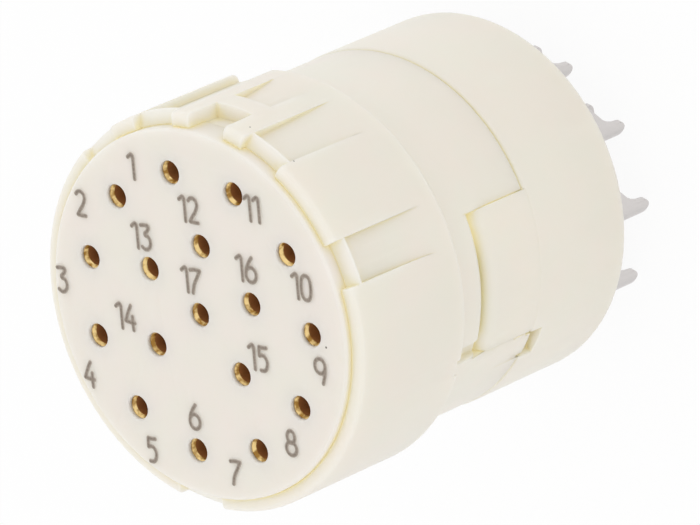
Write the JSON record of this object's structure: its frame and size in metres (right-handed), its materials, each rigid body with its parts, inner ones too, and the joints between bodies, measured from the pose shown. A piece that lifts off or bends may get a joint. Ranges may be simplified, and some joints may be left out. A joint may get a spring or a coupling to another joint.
{
  "type": "socket contact insert of a circular connector",
  "caption": "Round multi-way socket insert for a signal connector: coded plastic body, flat numbered front plate, gold sockets and solder cups held by a rear cap.",
  "frame": {"origin": "on the insert's axis, at the level of the tips of the solder cups", "axes": "+Z along the axis to the mating face, +Y towards the coding key, +X completes the right-handed frame"},
  "size_m": [0.0198, 0.0198, 0.024],
  "materials": {
    "body_ivory": "satin moulded thermoplastic, ivory",
    "plate_white": "satin moulded thermoplastic, warm white",
    "contact_gold": "gold-plated turned copper alloy, with tinned solder cups"
  },
  "bodies": {
    "root": {"contact_01": "contact_gold", "contact_02": "contact_gold", "contact_03": "contact_gold", "contact_04": "contact_gold", "contact_05": "contact_gold", "contact_06": "contact_gold", "contact_07": "contact_gold", "contact_08": "contact_gold", "contact_09": "contact_gold", "contact_10": "contact_gold", "contact_11": "contact_gold", "contact_12": "contact_gold", "contact_13": "contact_gold", "contact_14": "contact_gold", "contact_15": "contact_gold", "contact_16": "contact_gold", "contact_17": "contact_gold", "front_plate": "plate_white", "insert_body": "body_ivory", "rear_cap": "body_ivory"}
  },
  "joints": []
}
